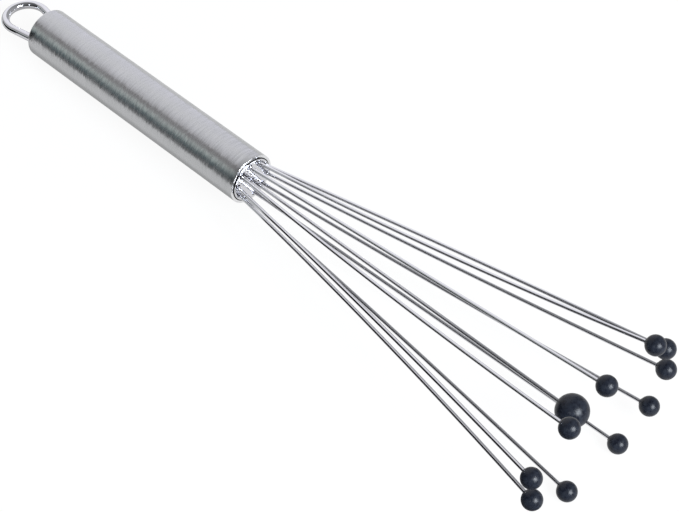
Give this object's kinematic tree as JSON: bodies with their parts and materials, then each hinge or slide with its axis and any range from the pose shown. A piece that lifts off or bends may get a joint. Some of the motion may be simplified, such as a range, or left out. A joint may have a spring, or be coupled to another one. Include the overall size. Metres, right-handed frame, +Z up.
{
  "type": "ball whisk",
  "caption": "Ball whisk: springy steel wires spreading from a round brushed steel handle, a dark silicone ball on the end of each, and a wire loop to hang it by.",
  "frame": {"origin": "middle of the footprint on the surface that the whisk lies on; the handle's rear rim and the two lowest balls touch that surface", "axes": "+X from the hanging loop towards the balls, +Z up; the handle's axis lies in the XZ plane and rises about 3 degrees towards the balls"},
  "size_m": [0.2712, 0.0706, 0.0471],
  "materials": {
    "brushed_tube": "satin, brushed round the tube",
    "polished_steel": "polished stainless steel",
    "spring_wire": "bright drawn stainless spring wire",
    "ball_silicone": "semi-gloss dark navy silicone"
  },
  "bodies": {
    "handle": {"handle_tube": "brushed_tube", "end_cap": "polished_steel", "hanging_loop": "polished_steel", "wire_holder": "polished_steel"},
    "centre_spring": {"centre_wire": "spring_wire", "centre_ball": "ball_silicone"},
    "spring_1": {"outer_wire_1": "spring_wire", "outer_ball_1": "ball_silicone"},
    "spring_2": {"outer_wire_2": "spring_wire", "outer_ball_2": "ball_silicone"},
    "spring_3": {"outer_wire_3": "spring_wire", "outer_ball_3": "ball_silicone"},
    "spring_4": {"outer_wire_4": "spring_wire", "outer_ball_4": "ball_silicone"},
    "spring_5": {"outer_wire_5": "spring_wire", "outer_ball_5": "ball_silicone"},
    "spring_6": {"outer_wire_6": "spring_wire", "outer_ball_6": "ball_silicone"},
    "spring_7": {"outer_wire_7": "spring_wire", "outer_ball_7": "ball_silicone"},
    "spring_8": {"outer_wire_8": "spring_wire", "outer_ball_8": "ball_silicone"},
    "spring_9": {"outer_wire_9": "spring_wire", "outer_ball_9": "ball_silicone"},
    "spring_10": {"outer_wire_10": "spring_wire", "outer_ball_10": "ball_silicone"}
  },
  "joints": [
    {"name": "flex_1", "type": "hinge", "parent": "handle", "child": "spring_1", "pos_m": [-0.01301, -0.00459, 0.01904], "axis": [0.0376, -0.7111, -0.7021], "range_deg": [-4, 8], "stiffness_Nm_per_rad": 0.405},
    {"name": "flex_2", "type": "hinge", "parent": "handle", "child": "spring_2", "pos_m": [-0.01282, -0.00643, 0.01555], "axis": [0.0516, -0.2559, -0.9653], "range_deg": [-4, 8], "stiffness_Nm_per_rad": 0.401},
    {"name": "flex_3", "type": "hinge", "parent": "handle", "child": "spring_3", "pos_m": [-0.01262, -0.00587, 0.01164], "axis": [0.0529, 0.1422, -0.9884], "range_deg": [-4, 8], "stiffness_Nm_per_rad": 0.403},
    {"name": "flex_4", "type": "hinge", "parent": "handle", "child": "spring_4", "pos_m": [-0.01246, -0.00312, 0.0088], "axis": [0.0274, 0.8587, -0.5117], "range_deg": [-4, 8], "stiffness_Nm_per_rad": 0.406},
    {"name": "flex_5", "type": "hinge", "parent": "handle", "child": "spring_5", "pos_m": [-0.01243, 0.00078, 0.00813], "axis": [-0.03, 0.8273, 0.5609], "range_deg": [-4, 8], "stiffness_Nm_per_rad": 0.405},
    {"name": "flex_6", "type": "hinge", "parent": "handle", "child": "spring_6", "pos_m": [-0.01252, 0.00433, 0.00987], "axis": [-0.0477, 0.4513, 0.8911], "range_deg": [-4, 8], "stiffness_Nm_per_rad": 0.402},
    {"name": "flex_7", "type": "hinge", "parent": "handle", "child": "spring_7", "pos_m": [-0.01271, 0.00618, 0.01337], "axis": [-0.0534, 0.0144, 0.9985], "range_deg": [-4, 8], "stiffness_Nm_per_rad": 0.402},
    {"name": "flex_8", "type": "hinge", "parent": "handle", "child": "spring_8", "pos_m": [-0.01292, 0.00562, 0.01728], "axis": [-0.0491, -0.3935, 0.918], "range_deg": [-4, 8], "stiffness_Nm_per_rad": 0.402},
    {"name": "flex_9", "type": "hinge", "parent": "handle", "child": "spring_9", "pos_m": [-0.01307, 0.00286, 0.02011], "axis": [-0.0396, -0.6714, 0.74], "range_deg": [-4, 8], "stiffness_Nm_per_rad": 0.403},
    {"name": "flex_10", "type": "hinge", "parent": "handle", "child": "spring_10", "pos_m": [-0.0131, -0.00104, 0.02078], "axis": [0.003, -0.9985, -0.0553], "range_deg": [-4, 8], "stiffness_Nm_per_rad": 0.406},
    {"name": "centre_flex", "type": "hinge", "parent": "handle", "child": "centre_spring", "pos_m": [-0.01277, -0.00013, 0.01446], "axis": [0, -1, 0], "range_deg": [-2, 2], "stiffness_Nm_per_rad": 0.439}
  ]
}
